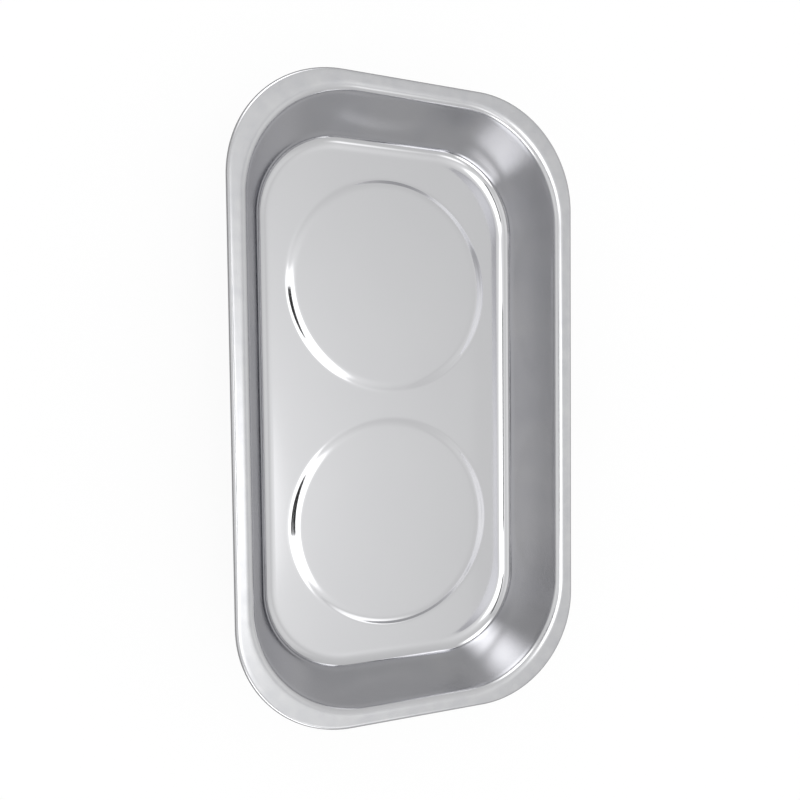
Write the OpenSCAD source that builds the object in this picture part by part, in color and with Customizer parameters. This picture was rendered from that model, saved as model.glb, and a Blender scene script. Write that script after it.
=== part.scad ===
// Magnetic parts tray: a drawn steel pan on two rubber-booted ring magnets.
// Millimetres, +Z up, +Y along the tray. The origin lies under the middle of
// the tray, on the surface that the two boots stand on.

/* [Tray outline] */

// Length over the rim, along Y
tray_length = 240; // [232:1:255]
// Width over the rim, along X
tray_width = 139; // [135:1:150]
// Corner radius of the rim's outer edge
rim_corner_r = 42; // [38:1:46]
// Width of the flat rim along the two long sides
rim_side = 6.5; // [5.5:0.1:7.5]
// Width of the flat rim across the two ends
rim_end = 6.2; // [5.5:0.1:7.5]
// Corner radius of the mouth, larger than a plain inset of the rim
mouth_corner_r = 42; // [40:0.5:44]

/* [Pan section] */

// Thickness of the steel sheet
sheet = 0.7; // [0.5:0.1:0.8]
// Depth from the top of the rim to the floor
pan_depth = 28; // [24:1:34]
// Lean of the wall from upright
wall_draft = 18; // [15:0.5:20]
// Bend radius between rim and wall, on the upper face
mouth_bend_r = 3.2; // [2.5:0.1:3.5]
// Bend radius between wall and floor, on the upper face
floor_bend_r = 5.5; // [4.5:0.1:6]
// Outer radius of the edge folded under the rim
hem_r = 1.5; // [1.2:0.1:1.7]
// Width of the folded edge's flat return
hem_return = 2; // [1:0.1:2.5]

/* [Magnet seats] */

// Width of the floor left between the two seats
seat_land = 9.2; // [8:0.1:14]
// Flat ring left free round a boot, under its seat
seat_gap = 1.2; // [0.8:0.1:2]
// Height of a seat above the floor
seat_rise = 0.7; // [0.6:0.05:1]
// Straight slope between a seat's two bends
seat_ramp = 0.4; // [0.2:0.1:1]
// Bend radius at the seat's crest
seat_crest_r = 12; // [8:0.5:14]
// Bend radius at the seat's foot
seat_foot_bend_r = 6; // [3:0.5:8]

/* [Magnet bases] */

// Outer diameter of the ring magnet
magnet_d = 70; // [66:1:71]
// Bore of the ring magnet
magnet_bore = 32; // [28:1:36]
// Thickness of the ring magnet
magnet_h = 10; // [8:0.5:12]
// Thickness of the steel plate on the magnet
plate_h = 1.5; // [1:0.1:2]
// Thickness of the bond pad between plate and pan
pad_h = 0.8; // [0.6:0.1:1.2]
// Wall of the rubber boot beside the magnet
boot_wall = 2.5; // [2:0.1:3]
// Floor of the rubber boot under the magnet
boot_floor = 2; // [1.8:0.1:3]
// Width of the lip that the boot turns in over the plate
boot_lip = 2.2; // [1.5:0.1:3]
// Radius round the boot's lower edge
boot_edge_r = 1.6; // [1:0.1:1.8]
// Height of the boot's hub inside the magnet's bore
hub_h = 6; // [4:0.5:7]
// Gap round the magnet and the plate, and round the hub
fit_gap = 0.1; // [0.05:0.05:0.2]
// Width of each groove in the underside of the boot
groove_w = 1.6; // [1:0.1:2]
// Depth of each groove in the underside of the boot
groove_depth = 0.6; // [0.4:0.1:0.8]

/* [Hidden] */

$fn = 96;
bend_steps = 8;
// Width over which a bend's flat end and its neighbouring flat overlap
lap = 0.8;

// Heights of the stack, from the surface up
magnet_z = boot_floor;
plate_z = magnet_z + magnet_h;
pad_z = plate_z + plate_h;
seat_under_z = pad_z + pad_h;
floor_z = seat_under_z + sheet - seat_rise;
rim_z = floor_z + pan_depth;

// Radii of the magnet base
magnet_r = magnet_d / 2;
pocket_r = magnet_r + fit_gap;
boot_r = pocket_r + boot_wall;
lip_r = pocket_r - boot_lip;
pad_r = lip_r - fit_gap;
bore_r = magnet_bore / 2;
hub_r = bore_r - fit_gap;
hub_hollow_r = hub_r - boot_floor;
hub_hollow_h = hub_h;

// The two grooves part the foot into three equal lands
land_outer_r = boot_r - boot_edge_r;
land_w = (land_outer_r - hub_hollow_r - 2 * groove_w) / 3;

// The wall's corner turns about this point, and so do its two bends
wall_pivot_x = tray_width / 2 - rim_side - mouth_corner_r;
wall_pivot_y = tray_length / 2 - rim_end - mouth_corner_r;

// Section of the wall, as distances from that point
mouth_bend_x = mouth_corner_r + mouth_bend_r * cos(45);
mouth_bend_z = rim_z - mouth_bend_r;
wall_top_x = mouth_bend_x - mouth_bend_r * cos(wall_draft);
wall_top_z = mouth_bend_z + mouth_bend_r * sin(wall_draft);
floor_bend_z = floor_z + floor_bend_r;
wall_foot_z = floor_bend_z - floor_bend_r * sin(wall_draft);
wall_foot_x = wall_top_x - (wall_top_z - wall_foot_z) * tan(wall_draft);
floor_bend_x = wall_foot_x - floor_bend_r * cos(wall_draft);

// The folded edge's corner turns about this point
rim_pivot_x = tray_width / 2 - rim_corner_r;
rim_pivot_y = tray_length / 2 - rim_corner_r;
hem_x = rim_corner_r - hem_r;
hem_z = rim_z - hem_r;

// Section of a seat's edge, outward from the boot that it takes. Its slope is
// the one at which two bends and the straight between them climb the rise.
seat_top_z = floor_z + seat_rise;
crest_x = boot_r + seat_gap;
seat_bends_r = seat_crest_r + seat_foot_bend_r;
seat_slope = acos((seat_bends_r - seat_rise) / norm([seat_bends_r, seat_ramp]))
    - atan2(seat_ramp, seat_bends_r);
seat_edge_w = seat_bends_r * sin(seat_slope) + seat_ramp * cos(seat_slope);
seat_foot_r = crest_x + seat_edge_w;
seat_pitch = 2 * seat_foot_r + seat_land;

// Points on an arc, both ends included
function arc(x, z, r, from, to) = [
    for (i = [0:bend_steps])
        let (a = from + (to - from) * i / bend_steps)
        [x + r * cos(a), z + r * sin(a)]
];

// A section carried round four corners and along the sides between them
module carried_round(pivot_x, pivot_y) {
    for (turn = [0, 180])
        rotate(turn) {
            translate([pivot_x, pivot_y, 0])
                rotate_extrude(angle = 90)
                    children();
            translate([-pivot_x, pivot_y, 0])
                rotate(90)
                    rotate_extrude(angle = 90)
                        children();
            translate([pivot_x, pivot_y, 0])
                rotate([90, 0, 0])
                    linear_extrude(height = 2 * pivot_y)
                        children();
            translate([-pivot_x, pivot_y, 0])
                rotate([90, 0, 90])
                    linear_extrude(height = 2 * pivot_x)
                        children();
        }
}

// A flat plate with round corners about the same four points
module round_plate(pivot_x, pivot_y, r, thickness) {
    cube_x = 2 * (pivot_x + r);
    cube_y = 2 * (pivot_y + r);
    translate([-pivot_x, -cube_y / 2, 0])
        cube([2 * pivot_x, cube_y, thickness]);
    translate([-cube_x / 2, -pivot_y, 0])
        cube([cube_x, 2 * pivot_y, thickness]);
    for (x = [-pivot_x, pivot_x], y = [-pivot_y, pivot_y])
        translate([x, y, 0])
            cylinder(r = r, h = thickness);
}

module wall_section() {
    floor_end_x = floor_bend_x - lap;
    rim_end_x = mouth_bend_x + lap;
    polygon(concat(
        [[floor_end_x, floor_z]],
        arc(floor_bend_x, floor_bend_z, floor_bend_r, -90, -wall_draft),
        arc(mouth_bend_x, mouth_bend_z, mouth_bend_r, 180 - wall_draft, 90),
        [[rim_end_x, rim_z], [rim_end_x, rim_z - sheet]],
        arc(mouth_bend_x, mouth_bend_z, mouth_bend_r - sheet, 90, 180 - wall_draft),
        arc(floor_bend_x, floor_bend_z, floor_bend_r + sheet, -wall_draft, -90),
        [[floor_end_x, floor_z - sheet]]
    ));
}

module hem_section() {
    return_x = hem_x - hem_return;
    under_z = hem_z - hem_r;
    polygon(concat(
        [[hem_x - lap, rim_z]],
        arc(hem_x, hem_z, hem_r, 90, -90),
        [[return_x, under_z], [return_x, under_z + sheet]],
        arc(hem_x, hem_z, hem_r - sheet, -90, 90),
        [[hem_x - lap, rim_z - sheet]]
    ));
}

// One raised seat, with the same sheet thickness all over
module seat_section() {
    foot_z = floor_z + seat_foot_bend_r;
    crest_z = seat_top_z - seat_crest_r;
    seat_end_x = seat_foot_r + lap;
    polygon(concat(
        [[0, seat_top_z]],
        arc(crest_x, crest_z, seat_crest_r, 90, 90 - seat_slope),
        arc(seat_foot_r, foot_z, seat_foot_bend_r, 270 - seat_slope, 270),
        [[seat_end_x, floor_z], [seat_end_x, floor_z - sheet]],
        arc(seat_foot_r, foot_z, seat_foot_bend_r + sheet, 270, 270 - seat_slope),
        arc(crest_x, crest_z, seat_crest_r - sheet, 90 - seat_slope, 90),
        [[0, seat_under_z]]
    ));
}

module at_seats() {
    for (side = [-1, 1])
        translate([0, side * seat_pitch / 2, 0])
            children();
}

// The flat of the rim, from the mouth bend out to the folded edge
module rim_flat() {
    translate([0, 0, rim_z - sheet])
        difference() {
            round_plate(rim_pivot_x, rim_pivot_y, hem_x - lap / 2, sheet);
            translate([0, 0, -sheet])
                round_plate(wall_pivot_x, wall_pivot_y, mouth_bend_x + lap / 2, 3 * sheet);
        }
}

// The floor, open where the two seats rise out of it
module floor_flat() {
    translate([0, 0, floor_z - sheet])
        difference() {
            round_plate(wall_pivot_x, wall_pivot_y, floor_bend_x - lap / 2, sheet);
            translate([0, 0, -sheet])
                at_seats() cylinder(r = seat_foot_r + lap / 2, h = 3 * sheet);
        }
}

module tray_pan() {
    color("silver")
        union() {
            rim_flat();
            floor_flat();
            carried_round(rim_pivot_x, rim_pivot_y) hem_section();
            carried_round(wall_pivot_x, wall_pivot_y) wall_section();
            at_seats() rotate_extrude() seat_section();
        }
}

module bond_pad() {
    color("gainsboro")
        translate([0, 0, pad_z])
            cylinder(r = pad_r, h = pad_h);
}

module pole_plate() {
    color("lightslategray")
        translate([0, 0, plate_z])
            cylinder(r = magnet_r, h = plate_h);
}

module ring_magnet() {
    color("dimgray")
        translate([0, 0, magnet_z])
            difference() {
                cylinder(r = magnet_r, h = magnet_h);
                translate([0, 0, -magnet_h / 2])
                    cylinder(r = bore_r, h = 2 * magnet_h);
            }
}

// Half section of the boot: foot, wall, lip, pocket and hollow hub
module boot_section() {
    hub_top_z = magnet_z + hub_h;
    groove_a = hub_hollow_r + land_w;
    groove_b = land_outer_r - land_w - groove_w;
    difference() {
        polygon(concat(
            [[hub_hollow_r, 0]],
            arc(land_outer_r, boot_edge_r, boot_edge_r, -90, 0),
            [
                [boot_r, seat_under_z], [lip_r, seat_under_z],
                [lip_r, pad_z], [pocket_r, pad_z],
                [pocket_r, magnet_z], [hub_r, magnet_z],
                [hub_r, hub_top_z], [0, hub_top_z],
                [0, hub_hollow_h], [hub_hollow_r, hub_hollow_h]
            ]
        ));
        for (x = [groove_a, groove_b])
            translate([x, -groove_depth])
                square([groove_w, 2 * groove_depth]);
    }
}

module boot() {
    color("#1c1c1e")
        rotate_extrude()
            boot_section();
}

module front() {
    translate([0, -seat_pitch / 2, 0])
        children();
}

module rear() {
    translate([0, seat_pitch / 2, 0])
        children();
}

module front_bond_pad() { front() bond_pad(); }
module rear_bond_pad() { rear() bond_pad(); }
module front_pole_plate() { front() pole_plate(); }
module rear_pole_plate() { rear() pole_plate(); }
module front_ring_magnet() { front() ring_magnet(); }
module rear_ring_magnet() { rear() ring_magnet(); }
module front_boot() { front() boot(); }
module rear_boot() { rear() boot(); }

tray_pan();
front_bond_pad();
rear_bond_pad();
front_pole_plate();
rear_pole_plate();
front_ring_magnet();
rear_ring_magnet();
front_boot();
rear_boot();
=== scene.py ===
# %% [markdown]
# # A magnetic parts tray
# A mechanic lays nuts and bolts in this pan, and two magnets under its floor keep them there and
# hold the tray to a steel surface. The imported solids come in first. They give every size that this
# lesson can measure.

# %% Load the imported part
import math

import bmesh
import bpy
from mathutils import Matrix, Vector


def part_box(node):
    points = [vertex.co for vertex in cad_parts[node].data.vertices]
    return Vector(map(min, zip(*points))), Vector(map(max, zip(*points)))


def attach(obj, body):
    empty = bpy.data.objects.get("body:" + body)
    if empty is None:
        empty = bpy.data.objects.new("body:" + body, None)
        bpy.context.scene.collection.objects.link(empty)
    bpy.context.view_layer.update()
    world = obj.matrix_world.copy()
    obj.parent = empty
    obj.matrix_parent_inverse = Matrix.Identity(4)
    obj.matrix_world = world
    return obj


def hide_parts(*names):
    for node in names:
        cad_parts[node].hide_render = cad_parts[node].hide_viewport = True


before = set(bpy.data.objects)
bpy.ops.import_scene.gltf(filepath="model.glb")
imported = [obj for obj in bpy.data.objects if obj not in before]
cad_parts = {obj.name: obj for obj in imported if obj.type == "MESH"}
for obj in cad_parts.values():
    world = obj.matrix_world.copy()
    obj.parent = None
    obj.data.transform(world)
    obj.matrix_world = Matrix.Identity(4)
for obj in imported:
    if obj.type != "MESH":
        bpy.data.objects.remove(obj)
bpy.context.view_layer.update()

# %% [markdown]
# ## Sizes
# The outer sizes are read from the solids. The radii of a bend or a corner can't be read from a box,
# so they are written here in millimetres, as on a drawing of the press tool.

# %% Sizes of the pan
MM = 0.001
pan_low, pan_high = (Vector(corner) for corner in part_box("tray_pan"))
sheet = 0.7 * MM
floor_z = pan_low.z + sheet
rim_z = pan_high.z

rim_corner = 42 * MM
rim_side = 6.5 * MM
rim_end = 6.2 * MM
mouth_corner = 42 * MM
wall_draft = 18
mouth_bend = 3.2 * MM
floor_bend = 5.5 * MM
hem_bend = 1.5 * MM
hem_return = 2 * MM
print("pan", pan_high - pan_low, "floor at", round(floor_z, 4))

# %% Sizes of the seats
seat_rise = 0.7 * MM
seat_ramp = 0.4 * MM
crest_bend = 12 * MM
foot_bend = 6 * MM
seat_gap = 1.2 * MM
boot_low, boot_high = (Vector(corner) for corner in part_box("rear_boot"))
boot_radius = (boot_high.x - boot_low.x) / 2
seat_y = (boot_high.y + boot_low.y) / 2
print("boot radius", round(boot_radius, 4), "seats at", round(seat_y, 4))

# %% [markdown]
# ## Drawing a section with points
# A pressed sheet is a section that runs on straight, then bends, then runs on again. Blender can
# draw one the same way: a single point is extruded to run on, and spun about a centre to bend.
# The plane primitive is only a way to get that first point, by merging its four corners.


# %% Helpers that draw a section
def start_point(name, place):
    """A mesh of one point, left in edit mode with that point selected."""
    bpy.ops.object.select_all(action="DESELECT")
    bpy.ops.mesh.primitive_plane_add(size=MM, location=place)
    piece = bpy.context.object
    piece.name = name
    bpy.ops.object.transform_apply(location=True, rotation=True, scale=True)
    bpy.ops.object.mode_set(mode="EDIT")
    bpy.ops.mesh.merge(type="CENTER")
    return piece


def run_on(x=0.0, y=0.0, z=0.0):
    """Extrudes what is selected by a straight step."""
    bpy.ops.mesh.extrude_region_move(TRANSFORM_OT_translate={"value": (x, y, z)})


def bend(x, y, z, degrees, steps=10):
    """Spins the selected point in the XZ plane, positive from below towards +X."""
    bpy.ops.mesh.spin(steps=steps, angle=math.radians(degrees), center=(x, y, z), axis=(0, 1, 0))


# %% [markdown]
# ## Choosing edges by place
# By hand, edges are picked with the mouse. In a script they are picked by where they lie, or because
# only one face uses them.


# %% Helpers that select
TOUCH = 0.002 * MM


def pick_edges(piece, test, open_only=False):
    """Selects, in edit mode, the edges whose two ends pass the test, or only those with one face."""
    bpy.ops.mesh.select_all(action="DESELECT")
    shape = bmesh.from_edit_mesh(piece.data)
    shape.select_mode = {"EDGE"}
    count = 0
    for edge in shape.edges:
        if (edge.is_boundary or not open_only) and all(test(v.co) for v in edge.verts):
            edge.select_set(True)
            count += 1
    bmesh.update_edit_mesh(piece.data)
    return count


# %% [markdown]
# ## Carrying a section round the pan
# The wall and the folded edge keep one section all the way round. A quarter is enough: the section
# is spun through the corner, its two ends run on straight to the middle planes, and a Mirror
# modifier makes the other three quarters. The short first step of each straight run keeps the
# corner's shading from leaking along the side.

# %% A helper that carries a section
CORNER_STEPS = 36
CORNER_LEAD = 3 * MM


def carry_round(piece, pivot):
    """Spins the section on the +X side of the pivot through a corner, and mirrors it."""
    bpy.ops.mesh.select_all(action="SELECT")
    bpy.ops.mesh.spin(
        steps=CORNER_STEPS, angle=math.radians(90), center=(pivot.x, pivot.y, 0), axis=(0, 0, -1)
    )
    run_on(x=-CORNER_LEAD)
    run_on(x=CORNER_LEAD - pivot.x)
    pick_edges(piece, lambda p: abs(p.y - pivot.y) < TOUCH and p.x > pivot.x + TOUCH)
    run_on(y=-CORNER_LEAD)
    run_on(y=CORNER_LEAD - pivot.y)
    bpy.ops.object.mode_set(mode="OBJECT")
    mirror = piece.modifiers.new("other quarters", "MIRROR")
    mirror.use_axis = (True, True, False)
    mirror.merge_threshold = TOUCH
    bpy.ops.object.modifier_apply(modifier=mirror.name)
    print(piece.name, len(piece.data.polygons), "faces")


# %% [markdown]
# ## The wall
# The deep-drawn wall rises from a round bend at the floor, leans outward so that the press tool lets
# go, and turns over a small bend onto the rim. The flat steps of 1 mm at each end of the wall hold
# its reflections straight, because smooth shading then only bends where the metal does.

# %% Work out the wall's section
draft = math.radians(wall_draft)
wall_pivot = Vector((pan_high.x - rim_side - mouth_corner, pan_high.y - rim_end - mouth_corner, 0))
mouth_x = mouth_corner + mouth_bend * math.cos(math.radians(45))
wall_top_z = rim_z - mouth_bend + mouth_bend * math.sin(draft)
wall_top = Vector((mouth_x - mouth_bend * math.cos(draft), 0, wall_top_z))
wall_foot_z = floor_z + floor_bend - floor_bend * math.sin(draft)
wall_run = (wall_top.z - wall_foot_z) / math.cos(draft)
floor_x = wall_top.x - wall_run * math.sin(draft) - floor_bend * math.cos(draft)
along_wall = Vector((math.sin(draft), 0, math.cos(draft)))
print("floor edge", round(wall_pivot.x + floor_x, 4), round(wall_pivot.y + floor_x, 4))

# %% Model the wall
FLAT = 1 * MM
LARGE_BEND_STEPS = 14
wall = start_point("tray_pan_steel", (wall_pivot.x + floor_x - FLAT, wall_pivot.y, floor_z))
run_on(x=FLAT)
bend(wall_pivot.x + floor_x, wall_pivot.y, floor_z + floor_bend, 90 - wall_draft, LARGE_BEND_STEPS)
for step in (FLAT, wall_run - 2 * FLAT, FLAT):
    run_on(*(along_wall * step))
bend(wall_pivot.x + mouth_x, wall_pivot.y, rim_z - mouth_bend, wall_draft - 90)
carry_round(wall, wall_pivot)

# %% [markdown]
# ## The folded edge
# A bare sheet edge would cut hands, so the rim's edge is folded under. Its corners turn about their
# own centres, which is why the rim is wider at the corners than along the sides.

# %% Model the folded edge
rim_pivot = Vector((pan_high.x - rim_corner, pan_high.y - rim_corner, 0))
hem_x = rim_corner - hem_bend
hem = start_point("folded_edge", (rim_pivot.x + hem_x, rim_pivot.y, rim_z))
bend(rim_pivot.x + hem_x, rim_pivot.y, rim_z - hem_bend, -180, LARGE_BEND_STEPS)
run_on(x=-hem_return)
carry_round(hem, rim_pivot)

# %% [markdown]
# ## The raised seats
# Each magnet sits under a round seat, pressed only 0.7 mm up out of the floor, so its edge is two soft
# bends with a short slope between them. How far the sheet has to turn follows from that rise and the
# two bend radii. A turned section suits a seat: a half section is drawn once, spun through a full
# turn, and copied to the other seat.

# %% Work out a seat's section
bends = crest_bend + foot_bend
slope = math.acos((bends - seat_rise) / math.hypot(bends, seat_ramp)) - math.atan2(seat_ramp, bends)
seat_slope = math.degrees(slope)
seat_top = floor_z + seat_rise
crest_x = boot_radius + seat_gap
ramp_run = seat_ramp * math.cos(slope)
ramp_drop = seat_ramp * math.sin(slope)
foot_x = crest_x + ramp_run + bends * math.sin(slope)
print("seat foot radius", round(foot_x, 5), "slope", round(seat_slope, 2))

# %% Model one seat and copy it
SEAT_STEPS = 144
FOOT_STEPS = 6
rear_seat = start_point("rear_seat", (crest_x - FLAT, seat_y, seat_top))
run_on(x=FLAT)
bend(crest_x, seat_y, seat_top - crest_bend, -seat_slope)
run_on(x=ramp_run, z=-ramp_drop)
bend(foot_x, seat_y, floor_z + foot_bend, seat_slope, FOOT_STEPS)
run_on(x=FLAT)
bpy.ops.mesh.select_all(action="SELECT")
bpy.ops.mesh.spin(steps=SEAT_STEPS, angle=math.radians(360), center=(0, seat_y, 0), axis=(0, 0, 1))
bpy.ops.mesh.select_all(action="SELECT")
bpy.ops.mesh.remove_doubles(threshold=TOUCH)
pick_edges(rear_seat, lambda p: abs(p.z - seat_top) < TOUCH, open_only=True)
bpy.ops.mesh.edge_face_add()
bpy.ops.object.mode_set(mode="OBJECT")

front_seat = rear_seat.copy()
front_seat.data = rear_seat.data.copy()
front_seat.data.transform(Matrix.Translation((0, -2 * seat_y, 0)))
bpy.context.collection.objects.link(front_seat)
print("seat", len(rear_seat.data.polygons), "faces")

# %% [markdown]
# ## One sheet
# The four drawn pieces become one skin. The rim is bridged between the wall's bend and the folded
# edge, and the floor is filled round the two seats. A Solidify modifier then gives the skin its
# sheet thickness downward, so the underside follows every bend.

# %% Join and close the skin
RIM_CUTS = 4
bpy.ops.object.select_all(action="DESELECT")
for part in (hem, rear_seat, front_seat, wall):
    part.select_set(True)
bpy.context.view_layer.objects.active = wall
bpy.ops.object.join()
pan = bpy.context.object
bpy.ops.object.mode_set(mode="EDIT")
rim_edges = pick_edges(pan, lambda p: abs(p.z - rim_z) < TOUCH, open_only=True)
bpy.ops.mesh.bridge_edge_loops(number_cuts=RIM_CUTS, interpolation="LINEAR")
floor_edges = pick_edges(pan, lambda p: abs(p.z - floor_z) < TOUCH, open_only=True)
bpy.ops.mesh.fill(use_beauty=True)
bpy.ops.mesh.select_all(action="SELECT")
bpy.ops.mesh.remove_doubles(threshold=TOUCH)
bpy.ops.mesh.normals_make_consistent(inside=False)
bpy.ops.object.mode_set(mode="OBJECT")
print("bridged", rim_edges, "rim edges, filled inside", floor_edges, "floor edges")

# %% Turn the skin upward and give it thickness
SHARP_FROM = 35
middle_face = min(pan.data.polygons, key=lambda f: (f.center - Vector((0, 0, seat_top))).length)
if middle_face.normal.z < 0:
    pan.data.flip_normals()
thickness = pan.modifiers.new("sheet", "SOLIDIFY")
thickness.thickness = sheet
thickness.offset = -1
thickness.use_even_offset = True
bpy.ops.object.modifier_apply(modifier=thickness.name)
bpy.ops.object.shade_smooth_by_angle(angle=math.radians(SHARP_FROM))
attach(pan, "root")
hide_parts("tray_pan")
pan.data.materials.clear()
print("pan", len(pan.data.polygons), "faces, size", [round(v, 4) for v in pan.dimensions])

# %% [markdown]
# ## A small kit for materials
# Nodes are long to write out, so two helpers keep each material readable: one adds a node with its
# values, the other starts a material with its shader and coordinates. They hold no looks of their own.


# %% Material helpers
def add_node(tree, kind, inputs=(), **settings):
    """A node of this kind with its settings and the values of its inputs."""
    node = tree.nodes.new(kind)
    for name, value in settings.items():
        setattr(node, name, value)
    for name, value in dict(inputs).items():
        node.inputs[name].default_value = value
    return node


def new_material(name):
    """A material with its Principled shader and the object coordinates."""
    material = bpy.data.materials.new(name)
    material.use_nodes = True
    tree = material.node_tree
    tree.nodes.clear()
    shader = add_node(tree, "ShaderNodeBsdfPrincipled")
    output = add_node(tree, "ShaderNodeOutputMaterial")
    tree.links.new(shader.outputs["BSDF"], output.inputs["Surface"])
    place = add_node(tree, "ShaderNodeTexCoord")
    return material, tree, shader, place.outputs["Object"]


# %% [markdown]
# ## A shared grain
# Rolled steel, ferrite and rubber all have a fine irregular surface at their own scale. One node
# group gives it: a noise that changes a value round a middle, for colour or roughness, and the same
# noise as a height for a bump.

# %% Build the grain group
grain = bpy.data.node_groups.new("surface_grain", "ShaderNodeTree")
grain.interface.new_socket("Place", in_out="INPUT", socket_type="NodeSocketVector")
for name, value in (("Scale", 100.0), ("Detail", 3.0), ("Middle", 0.5), ("Swing", 0.1)):
    grain.interface.new_socket(name, in_out="INPUT", socket_type="NodeSocketFloat").default_value = value
grain.interface.new_socket("Value", in_out="OUTPUT", socket_type="NodeSocketFloat")
grain.interface.new_socket("Height", in_out="OUTPUT", socket_type="NodeSocketFloat")
grain_in = add_node(grain, "NodeGroupInput")
grain_out = add_node(grain, "NodeGroupOutput")
grain_noise = add_node(grain, "ShaderNodeTexNoise")
grain_centre = add_node(grain, "ShaderNodeMath", {1: 0.5}, operation="SUBTRACT")
grain_swing = add_node(grain, "ShaderNodeMath", operation="MULTIPLY_ADD")
for start, end in (
    (grain_in.outputs["Place"], grain_noise.inputs["Vector"]),
    (grain_in.outputs["Scale"], grain_noise.inputs["Scale"]),
    (grain_in.outputs["Detail"], grain_noise.inputs["Detail"]),
    (grain_noise.outputs["Fac"], grain_centre.inputs[0]),
    (grain_centre.outputs[0], grain_swing.inputs[0]),
    (grain_in.outputs["Swing"], grain_swing.inputs[1]),
    (grain_in.outputs["Middle"], grain_swing.inputs[2]),
    (grain_swing.outputs[0], grain_out.inputs["Value"]),
    (grain_noise.outputs["Fac"], grain_out.inputs["Height"]),
):
    grain.links.new(start, end)
print("grain group with", len(grain.nodes), "nodes")


def add_grain(tree, place, scale, middle, swing, detail=3.0):
    """The grain group placed in a material with its own values."""
    node = add_node(tree, "ShaderNodeGroup", node_tree=grain)
    for name, value in (("Scale", scale), ("Detail", detail), ("Middle", middle), ("Swing", swing)):
        node.inputs[name].default_value = value
    tree.links.new(place, node.inputs["Place"])
    return node


# %% [markdown]
# ## Stainless sheet
# The floor keeps the bright mill finish of the sheet. The wall was pulled through the press tool, so it
# gets duller the higher it is, and the tool has polished the bend at its mouth again. The height of a
# point tells which of these it is on: ramps over Z add to the roughness or take from it. At a glancing
# angle steel reflects less than the shader's default, so its Specular Tint is set below white.

# %% Finish of each zone
steel, tree, shader, place = new_material("stainless_sheet")
shader.inputs["Metallic"].default_value = 1.0
shader.inputs["Specular Tint"].default_value = (0.74, 0.74, 0.76, 1)
height = add_node(tree, "ShaderNodeSeparateXYZ")
tree.links.new(place, height.inputs[0])


def climb(low, high, amount):
    """A value that climbs from 0 to the amount between two heights."""
    node = add_node(tree, "ShaderNodeMapRange", {"From Min": low, "From Max": high, "To Max": amount})
    tree.links.new(height.outputs["Z"], node.inputs["Value"])
    return node.outputs[0]


def combine(operation, first, second):
    """Two values joined by a calculation."""
    node = add_node(tree, "ShaderNodeMath", operation=operation)
    tree.links.new(first, node.inputs[0])
    tree.links.new(second, node.inputs[1])
    return node.outputs[0]


foot_of_wall = (floor_z + 3 * MM, floor_z + 6 * MM)
pulled_wall = (floor_z + 6 * MM, rim_z - 5 * MM)
bend_of_mouth = (rim_z - 3.8 * MM, rim_z - 2.6 * MM)
flat_rim = (rim_z - 0.5 * MM, rim_z - 0.1 * MM)
mill = add_grain(tree, place, scale=60, middle=0.08, swing=0.04).outputs["Value"]
roughness = combine("ADD", mill, climb(*foot_of_wall, amount=0.08))
roughness = combine("ADD", roughness, climb(*pulled_wall, amount=0.095))
roughness = combine("SUBTRACT", roughness, climb(*bend_of_mouth, amount=0.055))
tree.links.new(roughness, shader.inputs["Roughness"])
on_rim = climb(*flat_rim, amount=1.0)
on_wall = combine("SUBTRACT", climb(*foot_of_wall, amount=1.0), climb(*bend_of_mouth, amount=1.0))
print("wall marks from", round(foot_of_wall[0], 4), "to", round(bend_of_mouth[1], 4))

# %% [markdown]
# ## Marks of the drawing
# Drawing leaves long faint streaks up the wall. They come from the grain with its Z squeezed, so that
# every spot is stretched upward. Their pale tone is tinted brown, and that tint is a painted reflection
# of something brown beside the tray, not a colour of the steel. The rim was only held down, and is
# mottled. Over everything goes a slow wave, because no sheet stays quite flat.

# %% Streaks, mottling and waves
squeeze = add_node(tree, "ShaderNodeVectorMath", {1: (1, 1, 0.12)}, operation="MULTIPLY")
tree.links.new(place, squeeze.inputs[0])
streak = add_grain(tree, squeeze.outputs[0], scale=42, middle=0.5, swing=1.6, detail=2.0)
mottle = add_grain(tree, place, scale=170, middle=0.5, swing=2.0, detail=4.0)
tint = add_grain(tree, place, scale=25, middle=0.5, swing=0.9)
colour = add_node(tree, "ShaderNodeMix", data_type="RGBA")
colour.inputs[6].default_value = (0.585, 0.586, 0.6, 1)
colour.inputs[7].default_value = (0.615, 0.616, 0.627, 1)
tree.links.new(tint.outputs["Value"], colour.inputs[0])
shade = colour.outputs[2]
# On the wall the pale tone is the light side of the real drawing streaks, tinted brown as a painted
# reflection; on the rim both tones are its own mottling.
for amount, pattern, cool, pale_tone_and_brown_sheen in (
    (on_wall, streak, (0.81, 0.812, 0.825), (0.96, 0.955, 0.94)),
    (on_rim, mottle, (0.885, 0.89, 0.9), (0.995, 0.995, 0.99)),
):
    tone = add_node(tree, "ShaderNodeMix", data_type="RGBA")
    tone.inputs[6].default_value = (*cool, 1)
    tone.inputs[7].default_value = (*pale_tone_and_brown_sheen, 1)
    layer = add_node(tree, "ShaderNodeMix", data_type="RGBA", blend_type="MULTIPLY")
    tree.links.new(pattern.outputs["Value"], tone.inputs[0])
    tree.links.new(amount, layer.inputs[0])
    tree.links.new(shade, layer.inputs[6])
    tree.links.new(tone.outputs[2], layer.inputs[7])
    shade = layer.outputs[2]
tree.links.new(shade, shader.inputs["Base Color"])

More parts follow.
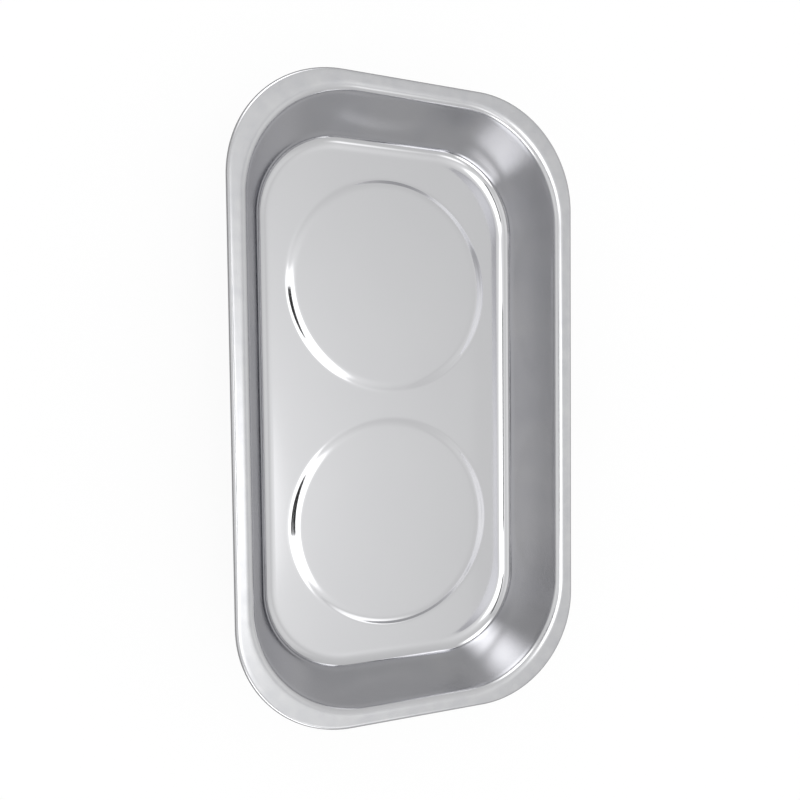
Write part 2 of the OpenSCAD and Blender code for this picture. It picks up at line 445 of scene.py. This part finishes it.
wave = add_grain(tree, place, scale=18, middle=0.5, swing=1.0, detail=1.0)
wave_bump = add_node(tree, "ShaderNodeBump", {"Strength": 0.06, "Distance": 1 * MM})
streak_bump = add_node(tree, "ShaderNodeBump", {"Strength": 0.15, "Distance": 1 * MM})
streak_level = add_node(tree, "ShaderNodeMath", {1: 0.5}, operation="SUBTRACT")
tree.links.new(streak.outputs["Value"], streak_level.inputs[0])
tree.links.new(wave.outputs["Height"], wave_bump.inputs["Height"])
tree.links.new(combine("MULTIPLY", streak_level.outputs[0], on_wall), streak_bump.inputs["Height"])
tree.links.new(wave_bump.outputs["Normal"], streak_bump.inputs["Normal"])
tree.links.new(streak_bump.outputs["Normal"], shader.inputs["Normal"])
pan.data.materials.append(steel)
print("steel with", len(tree.nodes), "nodes")

# %% [markdown]
# ## Rubber, ferrite, plate and pad
# These four sit under the floor and keep their CAD solids, which already have the right shape. Each
# gets a colour that varies a little, a roughness and a fine bump at the scale of the real surface.


# %% Materials of the magnet bases
def grained_material(name, dark, light, scale, roughness, swing, bump_strength, metallic=0.0):
    """A material whose colour, roughness and bump follow the shared grain."""
    material, tree, shader, place = new_material(name)
    shader.inputs["Metallic"].default_value = metallic
    tone = add_grain(tree, place, scale, 0.5, 1.0)
    rough = add_grain(tree, place, scale * 0.4, roughness, swing)
    mix = add_node(tree, "ShaderNodeMix", data_type="RGBA")
    mix.inputs[6].default_value = (*dark, 1)
    mix.inputs[7].default_value = (*light, 1)
    bump = add_node(tree, "ShaderNodeBump", {"Strength": bump_strength, "Distance": 0.1 * MM})
    for start, end in (
        (tone.outputs["Value"], mix.inputs[0]),
        (mix.outputs[2], shader.inputs["Base Color"]),
        (rough.outputs["Value"], shader.inputs["Roughness"]),
        (tone.outputs["Height"], bump.inputs["Height"]),
        (bump.outputs["Normal"], shader.inputs["Normal"]),
    ):
        tree.links.new(start, end)
    return material


base_finishes = {
    "boot": grained_material(
        "black_rubber", dark=(0.018, 0.018, 0.019), light=(0.032, 0.032, 0.034),
        scale=900, roughness=0.62, swing=0.15, bump_strength=0.25,
    ),
    "ring_magnet": grained_material(
        "ferrite", dark=(0.085, 0.085, 0.09), light=(0.15, 0.15, 0.155),
        scale=700, roughness=0.55, swing=0.2, bump_strength=0.3,
    ),
    "pole_plate": grained_material(
        "plated_steel", dark=(0.48, 0.49, 0.51), light=(0.58, 0.58, 0.58),
        scale=300, roughness=0.35, swing=0.15, bump_strength=0.1, metallic=1.0,
    ),
    "bond_pad": grained_material(
        "bond_foam", dark=(0.66, 0.66, 0.62), light=(0.76, 0.76, 0.72),
        scale=1200, roughness=0.85, swing=0.1, bump_strength=0.4,
    ),
}
for piece, finish in base_finishes.items():
    for end in ("front", "rear"):
        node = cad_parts[end + "_" + piece]
        node.data.materials.clear()
        node.data.materials.append(finish)
print("finished", len(base_finishes), "kinds of base piece")

# %% [markdown]
# ## The floor and the light tent
# Bright metal looks like what stands round it, so the light is a tent: a pale dome with one large lamp
# behind its cloth, a little left of overhead, that fades outwards. Only reflections and soft light see
# the dome. The camera sees a white floor and a white world, and the floor keeps the tray's soft shadow.
# From below the floor is clear, so that the feet and the underside can be looked at.

# %% Pale floor
TENT_RADIUS = 3.0
PAINT = 0.85
PAINT_IN_METAL = 0.4
CAMERA_LIFT = 0.9
bpy.ops.object.select_all(action="DESELECT")
bpy.ops.mesh.primitive_circle_add(vertices=96, radius=TENT_RADIUS, fill_type="NGON", location=(0, 0, 0))
ground = bpy.context.object
ground.name = "pale_floor"
white = bpy.data.materials.new("pale_floor")
white.use_nodes = True
tree = white.node_tree
tree.nodes.clear()
paint = add_node(tree, "ShaderNodeBsdfDiffuse")
lift = add_node(tree, "ShaderNodeEmission", {"Color": (1, 1, 1, 1)})
seen = add_node(tree, "ShaderNodeLightPath")
lift_amount = add_node(tree, "ShaderNodeMath", {1: CAMERA_LIFT}, operation="MULTIPLY")
grey_amount = add_node(
    tree, "ShaderNodeMath", {1: PAINT_IN_METAL - PAINT, 2: PAINT}, operation="MULTIPLY_ADD"
)
both = add_node(tree, "ShaderNodeMixShader")
side = add_node(tree, "ShaderNodeNewGeometry")
clear = add_node(tree, "ShaderNodeBsdfTransparent")
from_above = add_node(tree, "ShaderNodeMixShader")
surface = add_node(tree, "ShaderNodeOutputMaterial")
for start, end in (
    (seen.outputs["Is Glossy Ray"], grey_amount.inputs[0]),
    (grey_amount.outputs[0], paint.inputs["Color"]),
    (seen.outputs["Is Camera Ray"], lift_amount.inputs[0]),
    (lift_amount.outputs[0], both.inputs[0]),
    (paint.outputs[0], both.inputs[1]),
    (lift.outputs[0], both.inputs[2]),
    (side.outputs["Backfacing"], from_above.inputs[0]),
    (both.outputs[0], from_above.inputs[1]),
    (clear.outputs[0], from_above.inputs[2]),
    (from_above.outputs[0], surface.inputs["Surface"]),
):
    tree.links.new(start, end)
ground.data.materials.append(white)
print("floor of", 2 * TENT_RADIUS, "m across")


# %% A helper that makes a stage piece glow
def glowing(name, piece, level):
    """Gives a stage piece a plain glow that lights the tray and shows in it, unseen by the camera."""
    material = bpy.data.materials.new(name)
    material.use_nodes = True
    tree = material.node_tree
    tree.nodes.clear()
    glow = add_node(tree, "ShaderNodeEmission", {"Color": (1, 1, 1, 1), "Strength": level})
    surface = add_node(tree, "ShaderNodeOutputMaterial")
    tree.links.new(glow.outputs[0], surface.inputs["Surface"])
    piece.data.materials.append(material)
    piece.name = name
    piece.visible_camera = False
    piece.visible_shadow = False
    return tree, glow


# %% Light tent
LAMP_SIDE = (-0.19, -0.12, 0.974)
CLOTH_LOW, CLOTH_GAIN = 0.77, 0.14
HALO_POWER, HALO_LEVEL = 9.0, 0.6
DISC_OUTSIDE, DISC_INSIDE = 0.9135, 0.9455
LAMP_LEVEL = 0.9
bpy.ops.object.select_all(action="DESELECT")
bpy.ops.mesh.primitive_uv_sphere_add(segments=64, ring_count=32, radius=TENT_RADIUS, location=(0, 0, 0))
tree, glow = glowing("light_tent", bpy.context.object, 1.0)
spot = add_node(tree, "ShaderNodeTexCoord")
toward_light = add_node(tree, "ShaderNodeVectorMath", {1: LAMP_SIDE}, operation="DOT_PRODUCT")
lean = add_node(tree, "ShaderNodeMapRange", {"From Min": 0.0, "From Max": TENT_RADIUS})
cloth = add_node(tree, "ShaderNodeMath", {1: CLOTH_GAIN, 2: CLOTH_LOW}, operation="MULTIPLY_ADD")
halo = add_node(tree, "ShaderNodeMath", {1: HALO_POWER}, operation="POWER")
glow_round = add_node(tree, "ShaderNodeMath", {1: HALO_LEVEL}, operation="MULTIPLY_ADD")
disc = add_node(
    tree,
    "ShaderNodeMapRange",
    {"From Min": DISC_OUTSIDE, "From Max": DISC_INSIDE},
    interpolation_type="SMOOTHSTEP",
)
lamp = add_node(tree, "ShaderNodeMath", {1: LAMP_LEVEL}, operation="MULTIPLY_ADD")
for start, end in (
    (spot.outputs["Object"], toward_light.inputs[0]),
    (toward_light.outputs["Value"], lean.inputs["Value"]),
    (lean.outputs[0], cloth.inputs[0]),
    (lean.outputs[0], halo.inputs[0]),
    (halo.outputs[0], glow_round.inputs[0]),
    (cloth.outputs[0], glow_round.inputs[2]),
    (lean.outputs[0], disc.inputs["Value"]),
    (disc.outputs[0], lamp.inputs[0]),
    (glow_round.outputs[0], lamp.inputs[2]),
    (lamp.outputs[0], glow.inputs["Strength"]),
):
    tree.links.new(start, end)
print("lamp disc of", round(math.degrees(math.acos(DISC_OUTSIDE))), "degrees from middle to edge")


# %% [markdown]
# ## Soft boxes
# A soft box is brightest in the middle and fades over its border, as the cloth of a real one does.
# Five of them stand round the tray. A camera is a dark thing among bright ones, so a small dark card
# hangs in its place and shows as a short dark line in the bends of the metal.


# %% A helper that hangs a soft box
def soft_box(name, centre, width, height, level, edge=0.9, border=0.2, target=(0, 0, 0.03)):
    """A card that faces the tray and fades from its level to the edge level over the border."""
    facing = (Vector(target) - Vector(centre)).to_track_quat("Z", "Y").to_euler()
    bpy.ops.object.select_all(action="DESELECT")
    bpy.ops.mesh.primitive_plane_add(size=1, location=centre, rotation=facing)
    card = bpy.context.object
    card.scale = (width, height, 1)
    tree, glow = glowing(name, card, level)
    spot = add_node(tree, "ShaderNodeTexCoord")
    from_middle = add_node(tree, "ShaderNodeVectorMath", operation="ABSOLUTE")
    sides = add_node(tree, "ShaderNodeSeparateXYZ")
    fades = [
        add_node(
            tree,
            "ShaderNodeMapRange",
            {"From Min": 0.5, "From Max": 0.5 - border},
            interpolation_type="SMOOTHSTEP",
        )
        for side in "XY"
    ]
    both_ways = add_node(tree, "ShaderNodeMath", operation="MULTIPLY")
    strength = add_node(tree, "ShaderNodeMapRange", {"To Min": edge, "To Max": level})
    for start, end in (
        (spot.outputs["Object"], from_middle.inputs[0]),
        (from_middle.outputs[0], sides.inputs[0]),
        (sides.outputs["X"], fades[0].inputs["Value"]),
        (sides.outputs["Y"], fades[1].inputs["Value"]),
        (fades[0].outputs[0], both_ways.inputs[0]),
        (fades[1].outputs[0], both_ways.inputs[1]),
        (both_ways.outputs[0], strength.inputs["Value"]),
        (strength.outputs[0], glow.inputs["Strength"]),
    ):
        tree.links.new(start, end)
    print(name, "of", width, "x", height, "m")


# %% Hang the soft boxes and the dark card
soft_box("front_strip", (-0.43, -1.12, 0.32), 1.4, 0.5, 3.4, edge=0.8, border=0.25)
soft_box("front_box", (0.26, -1.06, 1.1), 1.0, 0.6, 1.8, edge=0.9, border=0.4)
soft_box("rear_left_box", (-0.36, 1.06, 0.42), 1.25, 0.85, 3.8, edge=0.8, border=0.48)
soft_box("left_reflector", (-1.05, -0.1, 0.5), 1.7, 0.7, 1.08, edge=0.87, border=0.4)
soft_box("right_reflector", (1.0, 0, 0.85), 1.1, 1.0, 1.0, edge=0.88, border=0.4)
soft_box("camera_shade", (-0.11, -0.011, 0.311), 0.2, 0.045, 0.04, edge=0.04)

# %% White world
world = bpy.context.scene.world or bpy.data.worlds.new("white_world")
bpy.context.scene.world = world
world.use_nodes = True
world.node_tree.nodes["Background"].inputs["Color"].default_value = (1, 1, 1, 1)
world.node_tree.nodes["Background"].inputs["Strength"].default_value = 1.0
bpy.context.scene.view_settings.view_transform = "Standard"
print("world", world.name, "with the Standard view")

# %% [markdown]
# ## The camera
# The photograph looks down into the tray from its left long side, from about 30 cm away. The place,
# the aim and the focal length come from fitting a camera to the outlines of rim, mouth and seats.

# %% Camera
PHOTO_SIDE = 800
FOCAL_PIXELS = 733.6
SHIFT_PIXELS = 39.9
SENSOR = 36
eye = Vector((-110.43, -2.14, 296.32)) * MM
look = Vector((0.37558, -0.04107, -0.92588)).normalized()
upward = Vector((0.0117, 1, 0))
up = (upward - look * upward.dot(look)).normalized()
lens_data = bpy.data.cameras.new("photo_camera")
lens_data.sensor_width = SENSOR
lens_data.lens = FOCAL_PIXELS / PHOTO_SIDE * SENSOR
lens_data.shift_y = SHIFT_PIXELS / PHOTO_SIDE
lens_data.clip_start = 0.01
camera = bpy.data.objects.new("photo_camera", lens_data)
camera.matrix_world = Matrix.Translation(eye) @ Matrix((look.cross(up), up, -look)).transposed().to_4x4()
bpy.context.collection.objects.link(camera)
bpy.context.scene.camera = camera
print("camera at", [round(v, 3) for v in eye], "lens", round(lens_data.lens, 2))
